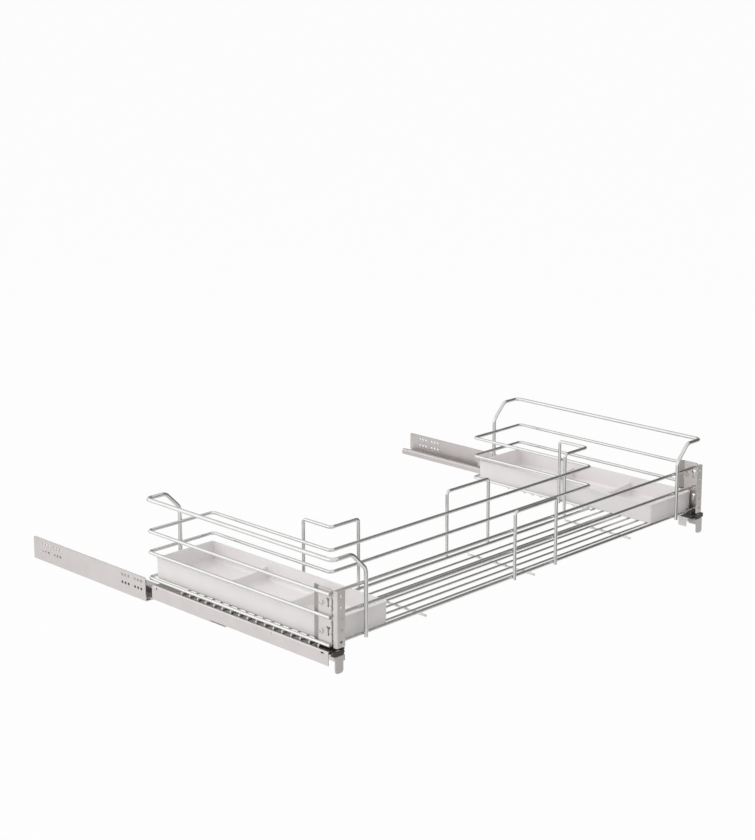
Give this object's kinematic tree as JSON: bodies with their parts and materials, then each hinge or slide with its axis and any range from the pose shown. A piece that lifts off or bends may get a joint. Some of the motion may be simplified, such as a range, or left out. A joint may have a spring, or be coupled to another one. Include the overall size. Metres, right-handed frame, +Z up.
{
  "type": "under-sink pull-out basket",
  "caption": "Chrome wire pull-out basket, U-shaped in plan to clear a sink trap, with lift-out side trays, guard rails, front-panel brackets and full-extension under-mount runners.",
  "frame": {"origin": "the middle of the object in plan and the lowest point of its release levers, with the basket fully pulled out", "axes": "+X to the right along the cabinet's width, seen from in front, +Y back into the cabinet, +Z up; the front faces -Y"},
  "size_m": [0.864, 0.6704, 0.1592],
  "materials": {
    "bright_chrome": "bright chrome plate on steel wire",
    "plate_steel": "satin zinc plate",
    "runner_steel": "satin zinc plate, rolled along its length",
    "screw_steel": "bright zinc plate",
    "tray_plastic": "fine-grained light grey moulding",
    "clip_plastic": "black moulding",
    "lever_plastic": "mid grey moulding",
    "cage_plastic": "natural moulding",
    "roller_plastic": "smooth white moulding"
  },
  "bodies": {
    "cabinet_profiles": {"left_cabinet_profile": "runner_steel", "right_cabinet_profile": "runner_steel"},
    "basket": {"bottom_frame_wire": "bright_chrome", "middle_ring_wire": "bright_chrome", "upper_ring_wire": "bright_chrome", "front_wires": "bright_chrome", "front_floor_wires": "bright_chrome", "left_floor_wires": "bright_chrome", "right_floor_wires": "bright_chrome", "cross_wires": "bright_chrome", "front_hoop": "bright_chrome", "inner_hoop": "bright_chrome", "left_corner_hoop": "bright_chrome", "left_guard_rail": "bright_chrome", "left_side_plate": "plate_steel", "left_clamp_screws": "screw_steel", "left_clamp_nuts": "screw_steel", "left_drawer_profile": "runner_steel", "left_lock_clip": "clip_plastic", "left_catch_bracket": "plate_steel", "left_lever_pin": "screw_steel", "right_corner_hoop": "bright_chrome", "right_guard_rail": "bright_chrome", "right_side_plate": "plate_steel", "right_clamp_screws": "screw_steel", "right_clamp_nuts": "screw_steel", "right_drawer_profile": "runner_steel", "right_lock_clip": "clip_plastic", "right_catch_bracket": "plate_steel", "right_lever_pin": "screw_steel"},
    "left_middle": {"left_middle_profile": "runner_steel"},
    "left_lower_carriage": {"left_lower_cage": "cage_plastic", "left_lower_rollers": "roller_plastic"},
    "left_upper_carriage": {"left_upper_cage": "cage_plastic", "left_upper_rollers": "roller_plastic"},
    "left_tray_body": {"left_tray": "tray_plastic"},
    "left_lever": {"left_release_lever": "lever_plastic"},
    "left_bracket": {"left_door_bracket": "plate_steel"},
    "right_middle": {"right_middle_profile": "runner_steel"},
    "right_lower_carriage": {"right_lower_cage": "cage_plastic", "right_lower_rollers": "roller_plastic"},
    "right_upper_carriage": {"right_upper_cage": "cage_plastic", "right_upper_rollers": "roller_plastic"},
    "right_tray_body": {"right_tray": "tray_plastic"},
    "right_lever": {"right_release_lever": "lever_plastic"},
    "right_bracket": {"right_door_bracket": "plate_steel"}
  },
  "joints": [
    {"name": "basket_slide", "type": "slide", "parent": "cabinet_profiles", "child": "basket", "axis": [0, 1, 0], "range_m": [0, 0.36]},
    {"name": "left_middle_slide", "type": "slide", "parent": "cabinet_profiles", "child": "left_middle", "axis": [0, 1, 0], "range_m": [0, 0.18]},
    {"name": "left_lower_carriage_slide", "type": "slide", "parent": "cabinet_profiles", "child": "left_lower_carriage", "axis": [0, 1, 0], "range_m": [0, 0.09]},
    {"name": "left_upper_carriage_slide", "type": "slide", "parent": "cabinet_profiles", "child": "left_upper_carriage", "axis": [0, 1, 0], "range_m": [0, 0.27]},
    {"name": "left_tray_lift", "type": "slide", "parent": "basket", "child": "left_tray_body", "axis": [0, 0, 1], "range_m": [0, 0.15]},
    {"name": "left_lever_hinge", "type": "hinge", "parent": "basket", "child": "left_lever", "pos_m": [-0.415, -0.33075, 0.0282], "axis": [-1, 0, 0], "range_deg": [0, 14], "stiffness_Nm_per_rad": 0.03, "springref_deg": -22.92},
    {"name": "left_bracket_slide", "type": "slide", "parent": "basket", "child": "left_bracket", "axis": [0, 0, 1], "range_m": [-0.002, 0.002]},
    {"name": "right_middle_slide", "type": "slide", "parent": "cabinet_profiles", "child": "right_middle", "axis": [0, 1, 0], "range_m": [0, 0.18]},
    {"name": "right_lower_carriage_slide", "type": "slide", "parent": "cabinet_profiles", "child": "right_lower_carriage", "axis": [0, 1, 0], "range_m": [0, 0.09]},
    {"name": "right_upper_carriage_slide", "type": "slide", "parent": "cabinet_profiles", "child": "right_upper_carriage", "axis": [0, 1, 0], "range_m": [0, 0.27]},
    {"name": "right_tray_lift", "type": "slide", "parent": "basket", "child": "right_tray_body", "axis": [0, 0, 1], "range_m": [0, 0.15]},
    {"name": "right_lever_hinge", "type": "hinge", "parent": "basket", "child": "right_lever", "pos_m": [0.415, -0.33075, 0.0282], "axis": [-1, 0, 0], "range_deg": [0, 14], "stiffness_Nm_per_rad": 0.03, "springref_deg": -22.92},
    {"name": "right_bracket_slide", "type": "slide", "parent": "basket", "child": "right_bracket", "axis": [0, 0, 1], "range_m": [-0.002, 0.002]}
  ],
  "couplings": [
    {"joint": "left_middle_slide", "follows": "basket_slide", "ratio": 0.5},
    {"joint": "left_lower_carriage_slide", "follows": "basket_slide", "ratio": 0.25},
    {"joint": "left_upper_carriage_slide", "follows": "basket_slide", "ratio": 0.75},
    {"joint": "right_middle_slide", "follows": "basket_slide", "ratio": 0.5},
    {"joint": "right_lower_carriage_slide", "follows": "basket_slide", "ratio": 0.25},
    {"joint": "right_upper_carriage_slide", "follows": "basket_slide", "ratio": 0.75}
  ]
}
